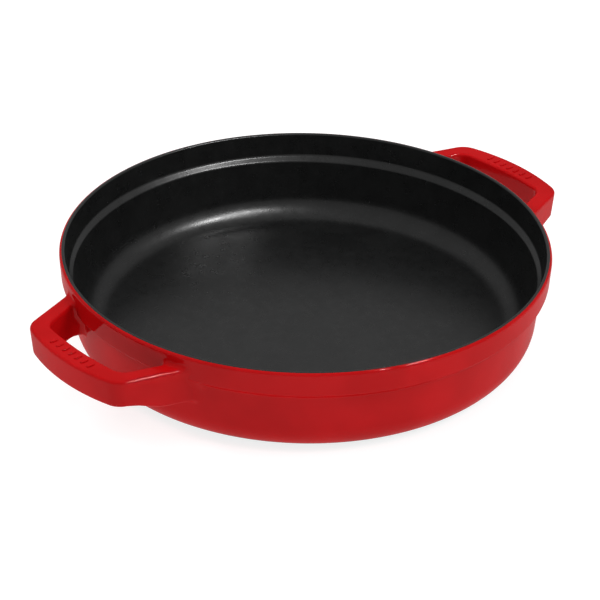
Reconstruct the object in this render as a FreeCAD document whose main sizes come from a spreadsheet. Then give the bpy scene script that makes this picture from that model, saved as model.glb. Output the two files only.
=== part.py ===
import FreeCAD, Part
import os
import re
import Sketcher

# Shallow round pan in enamelled cast iron with two loop handles.
# Frame: origin at the centre of the base, +Z up, +X along the line through both handles.
# The iron is one casting. It is kept here as a body and two handle castings, each under its own
# coats of enamel: matte black inside and over the rim, gloss outside, plain black underneath.

SIZES = {
    # outside of the bowl
    "rim_radius": 130.0,            # outermost circle, just under the rim
    "pan_height": 52.5,             # base to rim
    "band_foot_radius": 129.2,      # the upright band under the rim, at its lower edge
    "band_foot_height": 39.4,
    "step_foot_radius": 125.3,      # where the step under the band meets the lower wall
    "step_foot_height": 36.0,
    "wall_foot_radius": 122.0,      # the lower wall's line carried down to the base
    "base_rounding": 17.0,
    "band_edge_rounding": 1.0,
    "step_rounding": 2.0,
    "rim_outer_rounding": 1.8,
    # inside of the bowl
    "mouth_radius": 127.0,
    "ledge_corner_height": 39.6,    # the sloping ledge inside the step, at its upper corner
    "ledge_edge_height": 37.2,      # and at its lower edge
    "ledge_outer_radius": 125.4,
    "ledge_inner_radius": 122.6,
    "ledge_corner_rounding": 2.5,
    "ledge_edge_rounding": 2.0,
    "inner_foot_radius": 118.7,     # the inner wall's line carried down to the floor
    "floor_height": 4.5,
    "floor_rounding": 14.0,
    "rim_inner_rounding": 0.8,
    # handles: plan of a loop, with its corners before rounding
    "grip_reach": 160.9,            # outer edge of the grip bar, on the centre line
    "grip_corner_x": 154.8,
    "grip_corner_y": 36.6,
    "arm_root_x": 109.5,            # outer edge of an arm, carried on inside the wall
    "arm_root_y": 52.2,
    "gap_reach": 148.8,             # inner edge of the grip bar, on the centre line
    "gap_corner_x": 146.6,
    "gap_corner_y": 29.5,
    "gap_root_x": 114.5,            # inner edge of an arm, carried on inside the wall
    "gap_root_y": 40.5,
    "grip_corner_rounding": 11.5,
    "gap_corner_rounding": 7.5,
    # handles: height, with arms that are deeper than the grip bar
    "handle_top": 45.5,
    "grip_foot": 30.0,
    "arm_foot": 25.0,
    "deep_from_x": 132.0,           # the underside is at arm_foot from here to the wall
    "shallow_from_x": 146.0,        # and at grip_foot from here outwards
    "underside_rounding": 12.0,     # where its levels and the slope between them meet
    "handle_top_rounding": 1.5,
    "handle_foot_rounding": 1.6,
    "handle_draft": 5.0,            # degrees, narrower downwards
    # enamel
    "coat": 0.35,
    "mitre": 0.71,                  # how far a plan corner moves along Y for a coat's thickness
    "step_lift": 0.3,               # how far a step corner rises for a coat's thickness
    "ledge_drop": 0.45,             # how far the ledge's corners sink for a coat's thickness
    "rim_coat_radius": 128.8,       # edge of the black coat on top of the rim
    "base_coat_height": 4.0,        # top of the black coat on the base rounding
    # raised beads along each grip bar
    "bead_length": 4.6,
    "bead_width": 1.8,
    "bead_rise": 0.6,
    "bead_pitch": 5.0,
    "bead_line": 154.0,             # distance of the row from the pan's axis
}
BEADS_PER_GRIP = 7
BEAD_END_SHARE = 0.45               # rounding of a bead's ends, as a share of its width
BEAD_CROWN_SHARE = 0.6              # rounding of its top edges, as a share of its rise
NEAR = 0.001                        # positions closer than this are the same
FULL_TURN = 360.0

doc = FreeCAD.newDocument("pan")
sheet = doc.addObject("Spreadsheet::Sheet", "Sizes")
for row, (name, size) in enumerate(SIZES.items(), start=1):
    sheet.set(f"A{row}", name)
    sheet.set(f"B{row}", str(size))
    sheet.setAlias(f"B{row}", name)
doc.recompute()


def bound(expression):
    """The expression with each size's name pointing at its cell in the sheet."""
    def cell(word):
        return f"Sizes.{word[0]}" if word[0] in SIZES else word[0]

    return re.sub(r"[a-z_]+", cell, expression)


def amount(expression):
    """What the expression comes to now."""
    return float(sheet.evalExpression(bound(expression)))


def origin_plane(body, role):
    return next(feature for feature in body.Origin.OriginFeatures if feature.Role == role)


def new_sketch(body, name, role):
    sketch = body.newObject("Sketcher::SketchObject", name)
    sketch.AttachmentSupport = (origin_plane(body, role), [""])
    sketch.MapMode = "FlatFace"
    return sketch


def place_point(sketch, edge, end, name, across, up):
    """Hold one end of an edge at a position that follows the sheet."""
    for kind, axis, expression in (("DistanceX", -2, across), ("DistanceY", -1, up)):
        if abs(amount(expression)) < NEAR:
            sketch.addConstraint(Sketcher.Constraint("PointOnObject", edge, end, axis))
        else:
            index = sketch.addConstraint(
                Sketcher.Constraint(kind, -1, 1, edge, end, amount(expression)))
            sketch.renameConstraint(index, f"{name}_{kind[-1].lower()}")
            sketch.setExpression(f"Constraints[{index}]", bound(expression))


def draw_outline(sketch, corners, bows=None):
    """A closed outline through the corners; bows gives the X of the crown of the arc after a corner."""
    bows = bows or {}
    spots = [FreeCAD.Vector(amount(x), amount(y), 0) for x, y in corners]
    count = len(spots)
    ends = []
    for index, start in enumerate(spots):
        stop = spots[(index + 1) % count]
        if index in bows:
            crown = FreeCAD.Vector(amount(bows[index]), 0, 0)
            clockwise = (crown - start).cross(stop - crown).z < 0
            first, last = (stop, start) if clockwise else (start, stop)
            sketch.addGeometry(Part.Arc(first, crown, last))
            ends.append((2, 1) if clockwise else (1, 2))
        else:
            sketch.addGeometry(Part.LineSegment(start, stop))
            ends.append((1, 2))
    for index in range(count):
        following = (index + 1) % count
        sketch.addConstraint(Sketcher.Constraint(
            "Coincident", index, ends[index][1], following, ends[following][0]))
    for index, (x, y) in enumerate(corners):
        place_point(sketch, index, ends[index][0], f"corner{index}", x, y)
    for index, crown in bows.items():
        x, y = corners[index]
        rise = f"abs({crown} - ({x}))"
        radius = f"(({y}) * ({y}) + {rise} * {rise}) / (2 * {rise})"
        number = sketch.addConstraint(Sketcher.Constraint("Radius", index, amount(radius)))
        sketch.renameConstraint(number, f"bow{index}_radius")
        sketch.setExpression(f"Constraints[{number}]", bound(radius))


def ring_edges(feature, radius, height):
    """Names of a turned feature's circular edges at one radius and height."""
    names = []
    for number, edge in enumerate(feature.Shape.Edges, start=1):
        curve = edge.Curve
        if not isinstance(curve, Part.Circle):
            continue
        if abs(curve.Radius - amount(radius)) < NEAR and abs(curve.Center.z - amount(height)) < NEAR:
            names.append(f"Edge{number}")
    return names


def turn(body, kind, name, sketch):
    feature = body.newObject(kind, name)
    feature.Profile = sketch
    feature.ReferenceAxis = (sketch, ["V_Axis"])
    feature.Angle = FULL_TURN
    sketch.Visibility = False
    doc.recompute()
    return feature


def round_edges(body, name, edges, radius):
    before = body.Tip
    feature = body.newObject("PartDesign::Fillet", name)
    feature.Base = (before, edges)
    feature.setExpression("Radius", bound(radius))
    body.Tip = feature
    doc.recompute()
    return feature


def round_rings(body, name, rings):
    """Round a turned body's circular edges, each given as radius, height and rounding."""
    for number, (radius, height, rounding) in enumerate(rings, start=1):
        round_edges(body, f"{name}_rounding{number}", ring_edges(body.Tip, radius, height), rounding)


def turned_pan(label, inset, hollow):
    """The bowl turned about Z, with its skin set in by inset; solid when it isn't hollow."""
    body = doc.addObject("PartDesign::Body", label)
    body.Label = label
    outside = new_sketch(body, f"{label}_outside", "XZ_Plane")
    rim = (f"rim_radius - {inset}", f"pan_height - {inset}")
    band_foot = (f"band_foot_radius - {inset}", f"band_foot_height + {inset} * step_lift")
    step_foot = (f"step_foot_radius - {inset}", f"step_foot_height + {inset} * step_lift")
    base_edge = (f"wall_foot_radius - {inset}", f"{inset}")
    draw_outline(outside, [("0", base_edge[1]), base_edge, step_foot, band_foot, rim, ("0", rim[1])])
    turn(body, "PartDesign::Revolution", f"{label}_turned", outside)
    rings = [
        (*base_edge, f"base_rounding - {inset}"),
        (*step_foot, f"step_rounding + {inset}"),
        (*band_foot, f"band_edge_rounding - {inset}"),
        (*rim, f"rim_outer_rounding - {inset}"),
    ]
    if hollow:
        inside = new_sketch(body, f"{label}_inside", "XZ_Plane")
        floor_edge = (f"inner_foot_radius + {inset}", f"floor_height - {inset}")
        ledge_edge = (f"ledge_inner_radius + {inset}", f"ledge_edge_height - {inset} * ledge_drop")
        ledge_corner = (f"ledge_outer_radius + {inset}", f"ledge_corner_height - {inset} * ledge_drop")
        mouth = (f"mouth_radius + {inset}", rim[1])
        draw_outline(inside, [
            ("0", floor_edge[1]), floor_edge, ledge_edge, ledge_corner, mouth, ("0", mouth[1])])
        turn(body, "PartDesign::Groove", f"{label}_bowl", inside)
        rings += [
            (*floor_edge, f"floor_rounding + {inset}"),
            (*ledge_edge, f"ledge_edge_rounding - {inset}"),
            (*ledge_corner, f"ledge_corner_rounding + {inset}"),
            (*mouth, f"rim_inner_rounding - {inset}"),
        ]
    round_rings(body, label, rings)
    return body


def side_faces(shape):
    """Names of the upright faces of a loop, apart from the buried ends of its arms."""
    reach = amount("gap_root_x")
    depth = shape.BoundBox.ZLength
    return [f"Face{number}" for number, face in enumerate(shape.Faces, start=1)
            if face.CenterOfMass.x > reach and abs(face.BoundBox.ZLength - depth) < NEAR]


def level_faces(shape, height):
    """Names of the level faces at one height."""
    return [f"Face{number}" for number, face in enumerate(shape.Faces, start=1)
            if face.BoundBox.ZLength < NEAR and abs(face.CenterOfMass.z - height) < NEAR]


def upright_edges(shape, corner):
    """Names of the upright edges above a corner of the plan and its mirror image across X."""
    x, y = amount(corner[0]), amount(corner[1])
    names = []
    for number, edge in enumerate(shape.Edges, start=1):
        middle = edge.CenterOfMass
        if abs(middle.x - x) < NEAR and abs(abs(middle.y) - y) < NEAR:
            names.append(f"Edge{number}")
    return names


def cross_edges(shape, x):
    """Names of the edges that cross a loop's underside, along Y, at one X."""
    return [f"Edge{number}" for number, edge in enumerate(shape.Edges, start=1)
            if edge.BoundBox.XLength < NEAR and edge.BoundBox.ZLength < NEAR
            and abs(edge.CenterOfMass.x - x) < NEAR]


def lengthwise_edges(shape, lowest, highest):
    """Names of a loop's edges between two heights, apart from those across it and its buried ends."""
    reach = amount("gap_root_x")
    return [f"Edge{number}" for number, edge in enumerate(shape.Edges, start=1)
            if edge.CenterOfMass.x > reach and edge.BoundBox.XLength > NEAR
            and all(lowest - NEAR < vertex.Z < highest + NEAR for vertex in edge.Vertexes)]


def mirrored(corner):
    """The corner of a plan on the other side of X."""
    return (corner[0], f"-({corner[1]})")


def shape_underside(body, label, inset):
    """Cut a loop's underside to its side view: level under the arms and higher under the grip bar."""
    side_view = new_sketch(body, f"{label}_side_view", "XZ_Plane")
    deep = f"arm_foot + {inset}"
    shallow = f"grip_foot + {inset}"
    below = "arm_foot - coat"
    draw_outline(side_view, [
        ("0", below), ("rim_radius + grip_reach", below), ("rim_radius + grip_reach", shallow),
        ("shallow_from_x", shallow), ("deep_from_x", deep), ("0", deep)])
    pocket = body.newObject("PartDesign::Pocket", f"{label}_underside")
    pocket.Profile = side_view
    pocket.Type = "ThroughAll"
    pocket.Midplane = True
    side_view.Visibility = False
    doc.recompute()
    for place in ("shallow", "deep"):
        round_edges(body, f"{label}_{place}_rounding",
                    cross_edges(body.Tip.Shape, amount(f"{place}_from_x")), "underside_rounding")


def handle_block(label, inset, turned):
    """A loop handle as one drafted block, its arms carried on into the wall; turned, in degrees."""
    body = doc.addObject("PartDesign::Body", label)
    body.Label = label
    plan = new_sketch(body, f"{label}_plan", "XY_Plane")
    plan.setExpression("AttachmentOffset.Base.z", bound(f"handle_top - {inset}"))
    arm_root = ("arm_root_x", f"arm_root_y - {inset}")
    grip = (f"grip_corner_x - {inset}", f"grip_corner_y - {inset} * mitre")
    gap = (f"gap_corner_x + {inset}", f"gap_corner_y + {inset} * mitre")
    gap_root = ("gap_root_x", f"gap_root_y + {inset}")
    corners = [mirrored(arm_root), mirrored(grip), grip, arm_root,
               gap_root, gap, mirrored(gap), mirrored(gap_root)]
    draw_outline(plan, corners, {1: f"grip_reach - {inset}", 5: f"gap_reach + {inset}"})
    pad = body.newObject("PartDesign::Pad", f"{label}_pad")
    pad.Profile = plan
    pad.setExpression("Length", bound(f"handle_top - arm_foot - {inset}"))
    pad.Reversed = True
    plan.Visibility = False
    doc.recompute()
    round_edges(body, f"{label}_grip_corners", upright_edges(body.Tip.Shape, grip),
                f"grip_corner_rounding - {inset}")
    round_edges(body, f"{label}_gap_corners", upright_edges(body.Tip.Shape, gap),
                f"gap_corner_rounding + {inset}")
    rounded = body.Tip
    top = amount(f"handle_top - {inset}")
    draft = body.newObject("PartDesign::Draft", f"{label}_draft")
    draft.Base = (rounded, side_faces(rounded.Shape))
    draft.NeutralPlane = (rounded, level_faces(rounded.Shape, top))
    draft.setExpression("Angle", bound("handle_draft"))
    draft.Reversed = True
    doc.recompute()
    shape_underside(body, label, inset)
    round_edges(body, f"{label}_top_edges", lengthwise_edges(body.Tip.Shape, top, top),
                f"handle_top_rounding - {inset}")
    underside = amount("arm_foot"), amount(f"grip_foot + {inset}")
    round_edges(body, f"{label}_foot_edges", lengthwise_edges(body.Tip.Shape, *underside),
                f"handle_foot_rounding - {inset}")
    body.Placement = FreeCAD.Placement(FreeCAD.Vector(), FreeCAD.Rotation(FreeCAD.Vector(0, 0, 1), turned))
    return body


def boolean(kind, label, base, tool):
    """A Part::Cut or Part::Common of two objects."""
    feature = doc.addObject(kind, label)
    feature.Label = label
    feature.Base = base
    feature.Tool = tool
    doc.recompute()
    return feature


def side_divider():
    """A turned solid whose skin runs inside the iron, from the middle of the floor up to the top of the rim.

    It parts the coats: what lies inside it is the bowl's inner coat, what lies outside is the outer one.
    """
    body = doc.addObject("PartDesign::Body", "inner_side")
    sketch = new_sketch(body, "inner_side_outline", "XZ_Plane")
    floor_middle = "floor_height / 2"
    wall_middle = "(wall_foot_radius + inner_foot_radius) / 2"
    ledge_middle = "(step_foot_radius + ledge_inner_radius) / 2"
    corner_cut = "base_rounding * (1 - sqrt(0.5)) + floor_height / 4"
    draw_outline(sketch, [
        ("0", floor_middle),
        ("inner_foot_radius - floor_rounding", floor_middle),
        (f"wall_foot_radius - ({corner_cut})", corner_cut),
        (wall_middle, "floor_rounding"),
        (ledge_middle, "ledge_edge_height"),
        ("rim_coat_radius - coat", "band_foot_height + band_edge_rounding"),
        ("rim_coat_radius", "pan_height - rim_outer_rounding"),
        ("rim_coat_radius", "pan_height + coat"),
        ("0", "pan_height + coat"),
    ])
    turn(body, "PartDesign::Revolution", "inner_side_turned", sketch)
    return body


def bead_row(label, sign):
    """Plain raised beads, rounded end to end, on top of one grip bar."""
    beads = []
    length, width, rise = amount("bead_length"), amount("bead_width"), amount("bead_rise")
    top = amount("handle_top")
    for number in range(BEADS_PER_GRIP):
        across = (number - (BEADS_PER_GRIP - 1) / 2) * amount("bead_pitch")
        start = FreeCAD.Vector(sign * amount("bead_line") - length / 2, across - width / 2, top)
        block = Part.makeBox(length, width, rise, start)
        upright = [edge for edge in block.Edges if edge.BoundBox.ZLength > rise / 2]
        bead = block.makeFillet(width * BEAD_END_SHARE, upright)
        crown = [edge for edge in bead.Edges
                 if edge.BoundBox.ZLength < NEAR and edge.CenterOfMass.z > top + rise / 2]
        beads.append(bead.makeFillet(rise * BEAD_CROWN_SHARE, crown))
    row = doc.addObject("Part::Feature", label)
    row.Label = label
    row.Shape = Part.makeCompound(beads)
    row.Placement = FreeCAD.Placement()
    return row


# iron
body_casting = turned_pan("body_casting", "coat", True)
iron_blank = turned_pan("iron_blank", "coat", False)
nodes = [body_casting]

# the finished surface, and the blank that the handles are trimmed to
glazed_pan = turned_pan("glazed_pan", "0", True)
glazed_blank = turned_pan("glazed_blank", "0", False)

# coats on the bowl
bowl_coats = boolean("Part::Cut", "bowl_coats", glazed_pan, body_casting)
inner_side = side_divider()
nodes.append(boolean("Part::Common", "interior_enamel", bowl_coats, inner_side))
outer_coats = boolean("Part::Cut", "outer_coats", bowl_coats, inner_side)
base_disc = doc.addObject("Part::Cylinder", "base_disc")
base_disc.setExpression("Radius", bound("rim_radius"))
base_disc.setExpression("Height", bound("base_coat_height"))
doc.recompute()
nodes.append(boolean("Part::Common", "base_enamel", outer_coats, base_disc))
wall_coat = boolean("Part::Cut", "wall_coat", outer_coats, base_disc)

# handles: iron, enamel and beads
for side, turned, sign in (("right", 0, 1), ("left", 180, -1)):
    iron_block = handle_block(f"{side}_iron_block", "coat", turned)
    glazed_block = handle_block(f"{side}_glazed_block", "0", turned)
    iron = boolean("Part::Cut", f"{side}_handle_casting", iron_block, iron_blank)
    loop = boolean("Part::Cut", f"{side}_glazed_loop", glazed_block, glazed_blank)
    nodes += [
        iron,
        boolean("Part::Cut", f"{side}_handle_enamel", loop, iron),
        bead_row(f"{side}_grip_beads", sign),
    ]
    wall_coat = boolean("Part::Cut", f"wall_coat_round_{side}_handle", wall_coat, iron)
wall_coat.Label = "exterior_enamel"
nodes.append(wall_coat)

doc.recompute()
for item in doc.Objects:
    if {"Invalid", "Error"} & set(item.State):
        raise RuntimeError(f"{item.Label}: {item.State}")
for node in nodes:
    if node.Shape.isNull() or not node.Shape.isValid():
        raise RuntimeError(f"{node.Label} has no sound shape")

os.makedirs("parts", exist_ok=True)
for node in nodes:
    node.Shape.exportStep(f"parts/{node.Label}.step")
    print(f"{node.Label:24} {node.Shape.Volume:12.1f} mm3  {len(node.Shape.Solids)} solids")
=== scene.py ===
import math

import bmesh
import bpy
from mathutils import Matrix, Vector


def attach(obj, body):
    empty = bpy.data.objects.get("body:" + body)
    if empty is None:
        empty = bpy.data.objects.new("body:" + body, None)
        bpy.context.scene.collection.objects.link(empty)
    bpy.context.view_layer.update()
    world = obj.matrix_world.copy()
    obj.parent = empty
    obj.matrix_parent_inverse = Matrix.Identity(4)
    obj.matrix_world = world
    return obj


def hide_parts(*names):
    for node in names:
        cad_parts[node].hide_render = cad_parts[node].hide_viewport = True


# Shallow enamelled cast iron pan with two loop handles.
# Sizes are in millimetres and degrees here, and meshes are made in metres in the part's frame:
# origin at the centre of the base, +Z up, +X through the right handle.

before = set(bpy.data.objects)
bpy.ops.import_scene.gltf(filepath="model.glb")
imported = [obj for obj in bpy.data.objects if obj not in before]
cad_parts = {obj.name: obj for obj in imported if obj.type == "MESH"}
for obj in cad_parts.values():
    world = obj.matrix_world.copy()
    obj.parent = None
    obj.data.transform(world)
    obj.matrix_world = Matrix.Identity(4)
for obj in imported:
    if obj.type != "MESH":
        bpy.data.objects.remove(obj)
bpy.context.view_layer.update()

MM = 0.001
COAT = 0.35                      # thickness of the enamel

# (radius, height, rounding) corners of the finished bowl, from the middle of the base up to the rim
BASE_EDGE = (122.0, 0.0, 17.0)
STEP_FOOT = (125.3, 36.0, 2.0)
BAND_FOOT = (129.2, 39.4, 1.0)
RIM_OUTSIDE = (130.0, 52.5, 1.8)
RIM_INSIDE = (127.0, 52.5, 0.8)
LEDGE_CORNER = (125.4, 39.6, 2.5)
LEDGE_EDGE = (122.6, 37.2, 2.0)
FLOOR_EDGE = (118.7, 4.5, 14.0)
BASE_COAT_TOP = 4.0              # where the black coat underneath gives way to the red
RED_STARTS = 128.8               # radius on top of the rim where the black gives way to the red

AROUND = 256                     # segments of a full turn
ARC_STEP = math.radians(6)       # widest turn between two points of a rounded corner
ARC_STEPS_LEAST = 4              # fewest steps of a rounded corner
RUN_STEP = 6.0                   # longest straight run between two points of an outline
FLAT = 1e-6                      # levels closer than this are one level

# handle, seen from above: outer edge and the edge of the finger gap, half of each
GRIP_CROWN, GRIP_ROUNDING = 160.9, 11.5
GRIP_CORNER, ARM_ROOT = Vector((154.8, 36.6)), Vector((109.5, 52.2))
GAP_CROWN, GAP_ROUNDING = 148.8, 7.5
GAP_CORNER, GAP_ROOT = Vector((146.6, 29.5)), Vector((114.5, 40.5))

# handle, seen from the side: the underside slopes between two distances along X
HANDLE_TOP, HANDLE_DEPTH, HANDLE_DRAFT = 45.5, 15.5, math.radians(5)
ARM_DEEPER = 5.0                 # how much deeper the arms are than the grip bar
UNDERSIDE_START, DEEP_TO, SHALLOW_FROM, UNDERSIDE_END = 100.0, 132.0, 146.0, 170.0
KNEE_ROUNDING = 12.0
HANDLE_TOP_ROUNDING, HANDLE_FOOT_ROUNDING = 1.5, 1.6
GAP_HEEL = 4.0                   # rounding of the gap's corners at the wall
BLEND_TOP, BLEND_FOOT, BLEND_OUTSIDE, BLEND_GAP = 3.0, 2.5, 1.9, 3.0    # reach of the cast blends
SKIRT = ((0.7, -0.04), (1.3, -0.2), (2.6, -0.9))    # past a blend's edge: how far on, and off the wall
ARM_RINGS, CORNER_RINGS, BOW_RINGS, BLEND_RINGS, RUNGS = 10, 14, 14, 10, 7
LONGEST_STRAIGHT, LONGEST_PATH = 30.0, 50.0         # search limits along an arm
GRIP_HALVINGS, WALL_HALVINGS = 60, 36               # steps of those searches

BEADS_PER_GRIP, BEAD_PITCH, BEAD_LINE = 7, 5.0, 154.0
BEAD_LENGTH, BEAD_WIDTH = 4.6, 1.8
BEAD_POINTS = 32
BEAD_SQUARE = 0.7                                   # 1 is an ellipse seen from above, less is squarer
BEAD_LEVELS = (                                     # (share of the half width left, height over the grip)
    (1.0, -0.2), (1.0, 0.1), (0.98, 0.26), (0.93, 0.4), (0.84, 0.51), (0.7, 0.58), (0.5, 0.6), (0.25, 0.6))


# ---------------------------------------------------------------- outlines

def rounded(corners):
    """Points of an open line through (across, up, rounding) corners, with the corners rounded off."""
    spots = [Vector(corner[:2]) for corner in corners]
    points = [spots[0]]
    for before, here, after, corner in zip(spots, spots[1:], spots[2:], corners[1:]):
        back, on = (before - here).normalized(), (after - here).normalized()
        half = back.angle(on) / 2
        radius = corner[2]
        start = here + back * radius / math.tan(half)
        centre = here + (back + on).normalized() * radius / math.sin(half)
        turn = math.pi - 2 * half
        steps = max(ARC_STEPS_LEAST, math.ceil(turn / ARC_STEP))
        way = 1 if back.x * on.y - back.y * on.x < 0 else -1
        run_to(points, start)
        for step in range(1, steps + 1):
            points.append(centre + Matrix.Rotation(way * turn * step / steps, 2) @ (start - centre))
    run_to(points, spots[-1])
    return points


def run_to(points, stop):
    """Carry a line on to a point in short straight runs."""
    start = points[-1]
    runs = max(1, math.ceil((stop - start).length / RUN_STEP))
    points.extend(start.lerp(stop, run / runs) for run in range(1, runs + 1))


RIM_TOP = RIM_OUTSIDE[1]
RIM_CROWN = (RIM_OUTSIDE[0] - RIM_OUTSIDE[2], RIM_TOP)      # where the rim's outer rounding starts
OUTSIDE = rounded([(0, 0), BASE_EDGE, STEP_FOOT, BAND_FOOT, RIM_OUTSIDE, (RIM_INSIDE[0], RIM_TOP)])
INSIDE = rounded([(0, FLOOR_EDGE[1]), FLOOR_EDGE, LEDGE_EDGE, LEDGE_CORNER, RIM_INSIDE, RIM_CROWN])


def outside_between(low, high):
    """The part of the outer outline between two heights."""
    points = [point for point in OUTSIDE[:1] if low <= point.y]
    for before, after in zip(OUTSIDE, OUTSIDE[1:]):
        for height in (low, high):
            if before.y < height < after.y:
                points.append(before.lerp(after, (height - before.y) / (after.y - before.y)))
        if low <= after.y <= high:
            points.append(after)
    return points


# ---------------------------------------------------------------- meshes

def add_piece(name, bm, replaced, thickness=0.0):
    """A mesh object that rides on the part's body and stands for a CAD node, which it hides."""
    mesh = bpy.data.meshes.new(name)
    bm.to_mesh(mesh)
    bm.free()
    mesh.transform(Matrix.Scale(MM, 4))
    mesh.shade_smooth()
    piece = bpy.data.objects.new(name, mesh)
    bpy.context.scene.collection.objects.link(piece)
    if thickness:
        shell = piece.modifiers.new("coat", "SOLIDIFY")
        shell.thickness = thickness * MM
        shell.offset = -1
    normals = piece.modifiers.new("even_shading", "WEIGHTED_NORMAL")
    normals.keep_sharp = True
    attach(piece, "root")
    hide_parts(replaced)
    return piece


def turned(name, outline, replaced, flipped=False):
    """A coat turned about Z; flipped where the finished side faces away from the bowl.

    An outline that starts on the axis has its flat middle laid out as a square grid."""
    bm = bmesh.new()
    flat = [p for p in outline if abs(p.y - outline[0].y) < FLAT] if outline[0].x == 0 else []
    first = len(flat) - 1 if flat else 0
    rings = []
    for point in outline[first:]:
        rings.append([
            bm.verts.new((point.x * math.cos(turn), point.x * math.sin(turn), point.y))
            for turn in (math.tau * step / AROUND for step in range(AROUND))])
    faces = []
    for low, high in zip(rings, rings[1:]):
        for step in range(AROUND):
            following = (step + 1) % AROUND
            faces.append((low[step], low[following], high[following], high[step]))
    if flat:
        faces += grid_disc(bm, rings[0], flat[-1].x, flat[0].y)
    for face in faces:
        bm.faces.new(face[::-1] if flipped else face)
    return add_piece(name, bm, replaced, COAT)


def grid_disc(bm, ring, radius, height):
    """Square faces over a flat disc whose edge is the ring."""
    across = AROUND // 4
    spots = {}
    for column in range(across + 1):
        for row in range(across + 1):
            a, b = 2 * column / across - 1, 2 * row / across - 1
            if a == 0 and b == 0:
                reach, turn = 0.0, 0.0
            elif abs(a) > abs(b):
                reach, turn = a, math.pi / 4 * b / a
            else:
                reach, turn = b, math.pi / 2 - math.pi / 4 * a / b
            if max(abs(a), abs(b)) == 1:
                turn += math.pi if reach < 0 else 0
                spots[column, row] = ring[round(turn / math.tau * AROUND) % AROUND]
            else:
                spot = (radius * reach * math.cos(turn), radius * reach * math.sin(turn), height)
                spots[column, row] = bm.verts.new(spot)
    return [
        (spots[c, r], spots[c, r + 1], spots[c + 1, r + 1], spots[c + 1, r])
        for c in range(across) for r in range(across)]


# ---------------------------------------------------------------- handles

WALL_FROM = 110.0                # radius beyond which the outline counts as the wall
RIM_SLACK = 0.1                  # how far under the rim's top the wall ends
TIE = 1e-9                       # lengths closer than this are equal
WALL_RUNS = [
    (low, high) for low, high in zip(OUTSIDE, OUTSIDE[1:])
    if low.x > WALL_FROM and high.y < RIM_TOP - RIM_SLACK]


def wall_gap(spot):
    """How far a spot is outside the bowl's outer surface; negative under it."""
    here = Vector((math.hypot(spot.x, spot.y), spot.z))
    nearest, side = math.inf, 1
    for low, high in WALL_RUNS:
        run = high - low
        share = min(max((here - low).dot(run) / run.length_squared, 0), 1)
        away = here - (low + run * share)
        if away.length < nearest - TIE:
            nearest = away.length
            side = 1 if away.x * run.y - away.y * run.x > 0 else -1
    return nearest * side


def edge_of_loop(crown, corner, root, rounding):
    """Half of a loop's edge seen from above: where the arm ends, its heading, and the rounded grip end.

    The grip end is a list of (spot, outward direction), from the arm to the middle of the grip."""
    rise = crown - corner.x
    bow = (corner.y ** 2 + rise ** 2) / (2 * rise)
    bow_centre = Vector((crown - bow, 0))
    along = (root - corner).normalized()
    outward = Vector((along.y, -along.x))
    low, high = 0.0, LONGEST_STRAIGHT
    for _ in range(GRIP_HALVINGS):
        run = (low + high) / 2
        centre = corner + along * run - outward * rounding
        if (centre - bow_centre).length > bow - rounding:
            low = run
        else:
            high = run
    first = math.atan2(outward.y, outward.x)
    last = math.atan2(*(centre - bow_centre).yx)
    grip = []
    for step in range(CORNER_RINGS + 1):
        turn = first + (last - first) * step / CORNER_RINGS
        way = Vector((math.cos(turn), math.sin(turn)))
        grip.append((centre + way * rounding, way))
    for step in range(1, BOW_RINGS + 1):
        turn = last * (1 - step / BOW_RINGS)
        way = Vector((math.cos(turn), math.sin(turn)))
        grip.append((bow_centre + way * bow, way))
    return along, outward, grip


def arm_edge(start, along, outward, straight, turn):
    """An arm's edge seen from above, by distance: straight, then turned through an arc into the wall."""
    def at(distance):
        past = max(distance - straight, 0)
        swept = min(past / GAP_HEEL, turn)
        centre = start + along * min(distance, straight) - outward * GAP_HEEL
        spin = Matrix.Rotation(swept, 2)
        way = spin @ outward
        return centre + way * GAP_HEEL + (spin @ along) * max(past - GAP_HEEL * turn, 0), way
    return at


def handle_section():
    """One side of the handle's section: (outward, height, outward part and rise of the normal)."""
    lean = HANDLE_DEPTH * math.tan(HANDLE_DRAFT)
    line = rounded([
        (-2 * HANDLE_TOP_ROUNDING, 0), (0, 0, HANDLE_TOP_ROUNDING),
        (-lean, -HANDLE_DEPTH, HANDLE_FOOT_ROUNDING), (-lean - 2 * HANDLE_FOOT_ROUNDING, -HANDLE_DEPTH)])
    side = []
    for before, here, after in zip(line, line[1:], line[2:]):
        run = after - before
        side.append((here.x, here.y, Vector((-run.y, run.x)).normalized()))
    side[0] = (*side[0][:2], Vector((0, 1)))
    side[-1] = (*side[-1][:2], Vector((0, -1)))
    return side


UNDERSIDE = rounded([
    (UNDERSIDE_START, ARM_DEEPER), (DEEP_TO, ARM_DEEPER, KNEE_ROUNDING),
    (SHALLOW_FROM, 0, KNEE_ROUNDING), (UNDERSIDE_END, 0)])


def deeper_at(x):
    """How much deeper than the grip bar the handle is at a distance along X."""
    for before, after in zip(UNDERSIDE, UNDERSIDE[1:]):
        if x <= after.x:
            share = max((x - before.x) / (after.x - before.x), 0)
            return before.lerp(after, share).y
    return UNDERSIDE[-1].y


def on_underside(spot):
    """A spot moved up or down onto the handle's underside."""
    return Vector((spot.x, spot.y, HANDLE_TOP - HANDLE_DEPTH - deeper_at(spot.x)))


def skin_path(edge, way, across, down, normal):
    """The line that one point of the section follows along an edge, with the skin's normal."""
    def path(distance):
        spot, out = edge(distance)
        deeper = deeper_at(spot.x + out.x * across * way) * -down / HANDLE_DEPTH
        inset = across - deeper * math.tan(HANDLE_DRAFT)
        return (
            (spot + out * inset * way).to_3d() + Vector((0, 0, HANDLE_TOP + down - deeper)),
            (out * normal.x * way).to_3d() + Vector((0, 0, normal.y)))
    return path


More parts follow.
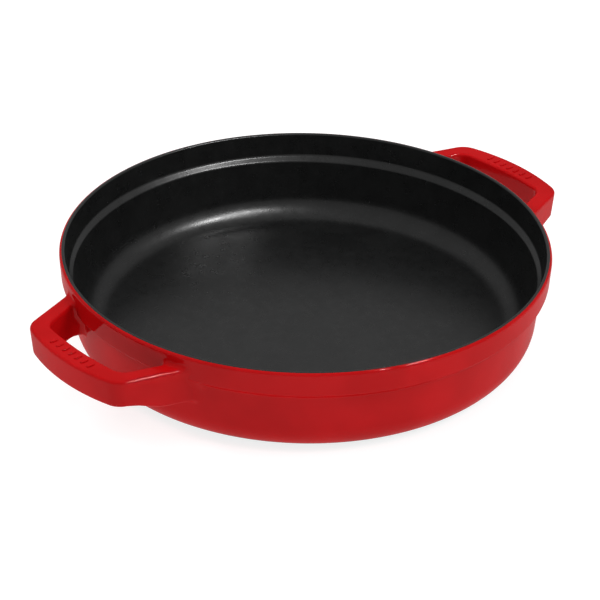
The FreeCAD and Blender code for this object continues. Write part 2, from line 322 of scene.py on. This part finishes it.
def shared_path(first, last, share, normal):
    """A line between two lines of the skin, each given with how far along it meets the wall."""
    span = first[1] + (last[1] - first[1]) * share

    def path(distance):
        along = distance / span
        spot = first[0](first[1] * along)[0].lerp(last[0](last[1] * along)[0], share)
        return (on_underside(spot) if normal.z < 0 else spot), normal
    return path


def reach_wall(path, lift, gap):
    """Where a path, lifted off along its normal, is a given distance off the wall.

    The answer is how far along the path that is, and the lifted spot."""
    near, far = 0.0, LONGEST_PATH
    for _ in range(WALL_HALVINGS):
        distance = (near + far) / 2
        spot, normal = path(distance)
        lifted = spot + normal * lift
        if wall_gap(lifted) > gap:
            near = distance
        else:
            far = distance
    return distance, lifted


def rung_lines(first, last, rise):
    """Lines across the top or the underside, between the two lines at its edges."""
    pair = [(line, reach_wall(line, 0, 0)[0]) for line in (first, last)]
    return [shared_path(*pair, rung / RUNGS, Vector((0, 0, rise))) for rung in range(1, RUNGS)]


def closed_ring(out, back):
    """A whole ring of spots from its two sides, with rungs across the top and underneath."""
    def rungs(first, last):
        return [first.lerp(last, rung / RUNGS) for rung in range(1, RUNGS)]
    under = [on_underside(spot) for spot in rungs(out[-1], back[0])]
    return out + under + back + rungs(back[-1], out[0])


def handle_skin():
    """Rings of the right handle's skin, from under the wall at +Y, round the grip, to the wall at -Y."""
    side = handle_section()
    out_along, out_way, out_grip = edge_of_loop(GRIP_CROWN, GRIP_CORNER, ARM_ROOT, GRIP_ROUNDING)
    gap_along, gap_way, gap_grip = edge_of_loop(GAP_CROWN, GAP_CORNER, GAP_ROOT, GAP_ROUNDING)

    # the lines that the section's points follow along the arm
    level = Vector((0, 0, HANDLE_TOP))

    def gap_line(distance):
        return (gap_grip[0][0] + gap_along * distance).to_3d() + level, Vector()

    straight, heel = reach_wall(gap_line, 0, GAP_HEEL / 2)
    turn = gap_along.angle(-heel.xy)
    out_arm = arm_edge(out_grip[0][0], out_along, out_way, math.inf, 0)
    gap_arm = arm_edge(gap_grip[0][0], gap_along, gap_way, straight, turn)
    out_lines = [skin_path(out_arm, 1, *entry) for entry in side]
    gap_lines = [skin_path(gap_arm, -1, *entry) for entry in side[::-1]]
    lines = out_lines + rung_lines(out_lines[-1], gap_lines[0], -1)
    lines += gap_lines + rung_lines(gap_lines[-1], out_lines[0], 1)
    reaches = (
        [blend_reach(entry[2], BLEND_OUTSIDE) for entry in side] + [BLEND_FOOT] * (RUNGS - 1)
        + [blend_reach(entry[2], BLEND_GAP) for entry in side[::-1]] + [BLEND_TOP] * (RUNGS - 1))

    rings = []
    for more, sink in reversed(SKIRT):
        rings.append([reach_wall(line, reach + more, sink)[1] for line, reach in zip(lines, reaches)])
    for step in range(BLEND_RINGS, 0, -1):
        bend = math.pi / 2 * step / BLEND_RINGS
        rings.append([
            reach_wall(line, reach * (1 - math.cos(bend)), reach * (1 - math.sin(bend)))[1]
            for line, reach in zip(lines, reaches)])
    leaves = [reach_wall(line, 0, reach)[0] for line, reach in zip(lines, reaches)]
    for step in range(ARM_RINGS, 0, -1):
        share = 1 - (1 - step / ARM_RINGS) ** 2
        rings.append([line(leave * share)[0] for line, leave in zip(lines, leaves)])
    for outer, inner in zip(out_grip, gap_grip):
        rings.append(closed_ring(
            [skin_path(lambda _, edge=outer: edge, 1, *entry)(0)[0] for entry in side],
            [skin_path(lambda _, edge=inner: edge, -1, *entry)(0)[0] for entry in side[::-1]]))
    other_arm = [[Vector((spot.x, -spot.y, spot.z)) for spot in ring] for ring in rings[-2::-1]]
    return rings + other_arm


def blend_reach(normal, across):
    """How far a cast blend reaches at a point of the section, from level surfaces to upright ones."""
    level = BLEND_TOP if normal.y > 0 else BLEND_FOOT
    return across + (level - across) * abs(normal.y)


def handle_enamel(name, sign, replaced):
    """The coat of one handle; the left one is the right one given half a turn."""
    bm = bmesh.new()
    rings = [
        [bm.verts.new((sign * spot.x, sign * spot.y, spot.z)) for spot in ring]
        for ring in HANDLE_SKIN]
    for here, there in zip(rings, rings[1:]):
        for i in range(len(here)):
            following = (i + 1) % len(here)
            bm.faces.new((there[i], there[following], here[following], here[i]))
    return add_piece(name, bm, replaced, COAT)


def bead_row(name, sign, replaced):
    """Plain raised beads across a grip bar, each a low dome on a rounded oblong."""
    bm = bmesh.new()
    for number in range(BEADS_PER_GRIP):
        middle = Vector((sign * BEAD_LINE, (number - (BEADS_PER_GRIP - 1) / 2) * BEAD_PITCH, HANDLE_TOP))
        rings = []
        for share, rise in BEAD_LEVELS:
            ring = []
            for step in range(BEAD_POINTS):
                turn = math.tau * step / BEAD_POINTS
                x, y = math.cos(turn), math.sin(turn)
                inset = (1 - share) * BEAD_WIDTH / 2
                spot = Vector((
                    math.copysign(abs(x) ** BEAD_SQUARE, x) * (BEAD_LENGTH / 2 - inset),
                    math.copysign(abs(y) ** BEAD_SQUARE, y) * (BEAD_WIDTH / 2 - inset),
                    rise))
                ring.append(bm.verts.new(middle + spot))
            rings.append(ring)
        for low, high in zip(rings, rings[1:]):
            for i in range(BEAD_POINTS):
                following = (i + 1) % BEAD_POINTS
                bm.faces.new((low[i], low[following], high[following], high[i]))
        bm.faces.new(rings[-1])
        bm.faces.new(rings[0][::-1])
    return add_piece(name, bm, replaced)


# ---------------------------------------------------------------- materials

MIX_FIRST, MIX_SECOND, MIX_RESULT = 6, 7, 2     # colour sockets of a mix node
NOISE_BULK, NOISE_CORE = (0.3, 0.7), (0.35, 0.65)   # where nearly all and most of a noise's values lie
NOISE_PEAKS = (0.62, 0.72)
RED_SHADES = (0.40, 0.003, 0.004), (0.45, 0.004, 0.0055)
BLACK_SHADES, BLACK_FLECK = ((0.004, 0.0042, 0.0042), (0.006, 0.0062, 0.0062)), (0.014, 0.014, 0.014)
IRON_SHADES = (0.055, 0.054, 0.053), (0.1, 0.098, 0.095)
FLOOR_SHADES = (0.34, 0.34, 0.34), (0.36, 0.36, 0.36)
WHITE = (1, 1, 1, 1)


def new_material(name):
    """A material with one Principled shader, and object coordinates for its textures."""
    material = bpy.data.materials.new(name)
    material.use_nodes = True
    tree = material.node_tree
    tree.nodes.clear()
    output = tree.nodes.new("ShaderNodeOutputMaterial")
    shader = tree.nodes.new("ShaderNodeBsdfPrincipled")
    tree.links.new(shader.outputs["BSDF"], output.inputs["Surface"])
    place = tree.nodes.new("ShaderNodeTexCoord").outputs["Object"]
    return material, tree, shader, place


def noise(tree, place, size, detail=3.0, rough=0.5):
    """Noise whose grain is about size millimetres."""
    node = tree.nodes.new("ShaderNodeTexNoise")
    node.inputs["Scale"].default_value = 1 / (size * MM)
    node.inputs["Detail"].default_value = detail
    node.inputs["Roughness"].default_value = rough
    tree.links.new(place, node.inputs["Vector"])
    return node.outputs["Fac"]


def remap(tree, source, low, high, out_low, out_high):
    """A value carried smoothly from one range to another."""
    node = tree.nodes.new("ShaderNodeMapRange")
    node.interpolation_type = "SMOOTHSTEP"
    for name, value in (("From Min", low), ("From Max", high), ("To Min", out_low), ("To Max", out_high)):
        node.inputs[name].default_value = value
    tree.links.new(source, node.inputs["Value"])
    return node.outputs["Result"]


def blend_colours(tree, share, first, second):
    """A colour between two, each a colour or another node's output."""
    node = tree.nodes.new("ShaderNodeMix")
    node.data_type = "RGBA"
    tree.links.new(share, node.inputs["Factor"])
    for socket, colour in ((node.inputs[MIX_FIRST], first), (node.inputs[MIX_SECOND], second)):
        if isinstance(colour, bpy.types.NodeSocket):
            tree.links.new(colour, socket)
        else:
            socket.default_value = (*colour, 1)
    return node.outputs[MIX_RESULT]


def bump(tree, height, depth, under=None):
    """Relief of depth millimetres, over another bump's normal."""
    node = tree.nodes.new("ShaderNodeBump")
    node.inputs["Strength"].default_value = 1.0
    node.inputs["Distance"].default_value = depth * MM
    tree.links.new(height, node.inputs["Height"])
    if under is not None:
        tree.links.new(under, node.inputs["Normal"])
    return node.outputs["Normal"]


def red_enamel():
    """Glossy red glaze that has flowed a little uneven."""
    material, tree, shader, place = new_material("red_enamel")
    flow = remap(tree, noise(tree, place, size=30, detail=2), *NOISE_CORE, 0, 1)
    tree.links.new(blend_colours(tree, flow, *RED_SHADES), shader.inputs["Base Color"])
    gloss = remap(tree, noise(tree, place, size=8), *NOISE_BULK, 0.04, 0.09)
    relief = bump(tree, noise(tree, place, size=9, detail=1), depth=0.02)
    relief = bump(tree, noise(tree, place, size=1.6, detail=2), depth=0.003, under=relief)
    for layer in ("", "Coat "):
        tree.links.new(gloss, shader.inputs[f"{layer}Roughness"])
        tree.links.new(relief, shader.inputs[f"{layer}Normal"])
    shader.inputs["Specular IOR Level"].default_value = 0.0
    shader.inputs["Coat Weight"].default_value = 0.2
    return material


def black_enamel(name, low, high, grain, depth):
    """Satin black glaze, between two roughnesses, with a fine grain of some depth."""
    material, tree, shader, place = new_material(name)
    cloud = remap(tree, noise(tree, place, size=14), *NOISE_CORE, 0, 1)
    base = blend_colours(tree, cloud, *BLACK_SHADES)
    fleck = remap(tree, noise(tree, place, size=grain, detail=2), *NOISE_PEAKS, 0, 1)
    tree.links.new(blend_colours(tree, fleck, base, BLACK_FLECK), shader.inputs["Base Color"])
    gloss = remap(tree, noise(tree, place, size=5), *NOISE_BULK, low, high)
    tree.links.new(gloss, shader.inputs["Roughness"])
    relief = bump(tree, noise(tree, place, size=4, detail=2), depth=depth / 2)
    relief = bump(tree, noise(tree, place, size=grain, detail=3), depth=depth, under=relief)
    tree.links.new(relief, shader.inputs["Normal"])
    return material


def cast_iron():
    """Bare sand-cast iron, which the enamel covers."""
    material, tree, shader, place = new_material("cast_iron")
    cloud = remap(tree, noise(tree, place, size=10), *NOISE_CORE, 0, 1)
    tree.links.new(blend_colours(tree, cloud, *IRON_SHADES), shader.inputs["Base Color"])
    gloss = remap(tree, noise(tree, place, size=2), *NOISE_BULK, 0.5, 0.75)
    tree.links.new(gloss, shader.inputs["Roughness"])
    relief = bump(tree, noise(tree, place, size=0.8, detail=4), depth=0.12)
    tree.links.new(relief, shader.inputs["Normal"])
    shader.inputs["Metallic"].default_value = 1.0
    return material


def paint(piece, material):
    """Give all of a piece's material slots one material, with a slot made where there is none."""
    if not piece.data.materials:
        piece.data.materials.append(None)
    for slot in piece.material_slots:
        slot.material = material


# ---------------------------------------------------------------- the pan

HANDLE_SKIN = handle_skin()
RED = red_enamel()
INNER_BLACK = black_enamel("black_enamel", low=0.27, high=0.33, grain=0.9, depth=0.04)
BASE_BLACK = black_enamel("base_enamel", low=0.3, high=0.4, grain=1.1, depth=0.008)
IRON = cast_iron()

rise = math.sqrt(RIM_OUTSIDE[2] ** 2 - (RED_STARTS - RIM_CROWN[0]) ** 2)
red_top = RIM_TOP - RIM_OUTSIDE[2] + rise
past_crown = RIM_CROWN[0] + COAT / 10
over_rim = [point for point in outside_between(red_top, RIM_TOP)[::-1] if point.x > past_crown]
inner_black = INSIDE + over_rim
red_wall = outside_between(BASE_COAT_TOP, red_top)
base = outside_between(0, BASE_COAT_TOP)
paint(turned("bowl_inside", inner_black, "interior_enamel", flipped=True), INNER_BLACK)
paint(turned("bowl_outside", red_wall, "exterior_enamel"), RED)
paint(turned("base_underside", base, "base_enamel"), BASE_BLACK)
for side, sign in (("right", 1), ("left", -1)):
    paint(handle_enamel(f"{side}_handle_skin", sign, f"{side}_handle_enamel"), RED)
    paint(bead_row(f"{side}_grip_marks", sign, f"{side}_grip_beads"), RED)
for node in ("body_casting", "left_handle_casting", "right_handle_casting"):
    paint(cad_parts[node], IRON)


# ---------------------------------------------------------------- floor, light and camera

VIEW_TURN = math.radians(-41.9)          # camera's bearing about the pan
VIEW_RISE = math.radians(30.64)
VIEW_ROLL = math.radians(0.93)
VIEW_DISTANCE = 1305.06
VIEW_LENS, VIEW_SENSOR = 146.68, 36
AIM = (-2.61, -6.71, 25.0)               # aside, up the picture, and the height aimed at

# the stage is in metres
FLOOR_RINGS, FLOOR_AROUND, FLOOR_DROP = (0.0, 0.5, 1.5, 4.0), 48, 0.0002
LAMP_DISTANCE, FAR_LAMP_DISTANCE = 1.6, 1.8
FLOOR_GLOW, WORLD_LIGHT = 0.8, 0.45


def seen_from_camera(bearing, rise):
    """A direction by its bearing left of straight ahead and its height, turned into the part's frame."""
    turn = bearing + math.pi / 2 + VIEW_TURN
    return Vector((math.cos(turn) * math.cos(rise), math.sin(turn) * math.cos(rise), math.sin(rise)))


def add_camera():
    """The camera, a little rolled, aimed beside the middle of the pan."""
    back = seen_from_camera(math.pi, VIEW_RISE)
    right = seen_from_camera(-math.pi / 2, 0)
    up = back.cross(right)
    across = right * math.cos(VIEW_ROLL) + up * math.sin(VIEW_ROLL)
    upward = up * math.cos(VIEW_ROLL) - right * math.sin(VIEW_ROLL)
    aim = Vector((0, 0, AIM[2])) + right * AIM[0] + up * AIM[1]
    camera = bpy.data.cameras.new("camera")
    camera.lens = VIEW_LENS
    camera.sensor_width = VIEW_SENSOR
    holder = bpy.data.objects.new("camera", camera)
    bpy.context.scene.collection.objects.link(holder)
    turn = Matrix((across, upward, back)).transposed().to_4x4()
    holder.matrix_world = Matrix.Translation((aim + back * VIEW_DISTANCE) * MM) @ turn
    bpy.context.scene.camera = holder


def add_softbox(name, bearing, rise, wide, high, power, distance=LAMP_DISTANCE, soft=True, gloss=True):
    """A soft box light aimed at the pan, by its direction in degrees as seen from the camera.

    Its sizes are in metres. A lamp with soft off only makes highlights, and one with gloss off makes none."""
    way = seen_from_camera(math.radians(bearing), math.radians(rise))
    lamp = bpy.data.lights.new(name, "AREA")
    lamp.shape = "RECTANGLE"
    lamp.size, lamp.size_y = wide, high
    lamp.energy = power
    box = bpy.data.objects.new(name, lamp)
    bpy.context.scene.collection.objects.link(box)
    box.visible_diffuse = soft
    box.visible_glossy = gloss
    box.matrix_world = Matrix.Translation(way * distance) @ way.to_track_quat("Z", "Y").to_matrix().to_4x4()


def floor_ring(bm, reach):
    """A ring of the floor's vertices; the middle one is a single vertex."""
    around = FLOOR_AROUND if reach else 1
    turns = [math.tau * step / around for step in range(around)]
    return [bm.verts.new((reach * math.cos(turn), reach * math.sin(turn), -FLOOR_DROP)) for turn in turns]


def add_floor():
    """A round pale floor just under the pan."""
    bm = bmesh.new()
    rings = [floor_ring(bm, reach) for reach in FLOOR_RINGS]
    for low, high in zip(rings, rings[1:]):
        for i in range(FLOOR_AROUND):
            following = (i + 1) % FLOOR_AROUND
            corners = (low[0],) if len(low) == 1 else (low[following], low[i])
            bm.faces.new((high[i], high[following], *corners))
    mesh = bpy.data.meshes.new("floor")
    bm.to_mesh(mesh)
    bm.free()
    floor = bpy.data.objects.new("floor", mesh)
    bpy.context.scene.collection.objects.link(floor)
    material, tree, shader, place = new_material("pale_floor")
    shade = blend_colours(tree, noise(tree, place, size=90), *FLOOR_SHADES)
    tree.links.new(shade, shader.inputs["Base Color"])
    gloss = remap(tree, noise(tree, place, size=40), *NOISE_BULK, 0.7, 0.8)
    tree.links.new(gloss, shader.inputs["Roughness"])
    shader.inputs["Specular IOR Level"].default_value = 0.0
    shader.inputs["Emission Color"].default_value = WHITE
    shader.inputs["Emission Strength"].default_value = FLOOR_GLOW
    paint(floor, material)


def add_world():
    """Even pale light from all round."""
    world = bpy.data.worlds.new("studio")
    world.use_nodes = True
    background = world.node_tree.nodes["Background"]
    background.inputs["Color"].default_value = WHITE
    background.inputs["Strength"].default_value = WORLD_LIGHT
    bpy.context.scene.world = world


add_camera()
add_floor()
add_world()
add_softbox("key", bearing=-115, rise=45, wide=0.6, high=0.6, power=10, gloss=False)
add_softbox("sheen", bearing=-111, rise=56, wide=0.24, high=0.16, power=13.5, soft=False)
add_softbox("edge_sheen", bearing=-138, rise=53, wide=0.1, high=0.1, power=9, soft=False)
add_softbox(
    "overhead", bearing=0, rise=88, wide=1.6, high=1.6, power=12, distance=FAR_LAMP_DISTANCE, gloss=False)
add_softbox("left", bearing=75, rise=40, wide=0.6, high=0.6, power=9, distance=FAR_LAMP_DISTANCE, gloss=False)
bpy.context.scene.view_settings.view_transform = "Standard"
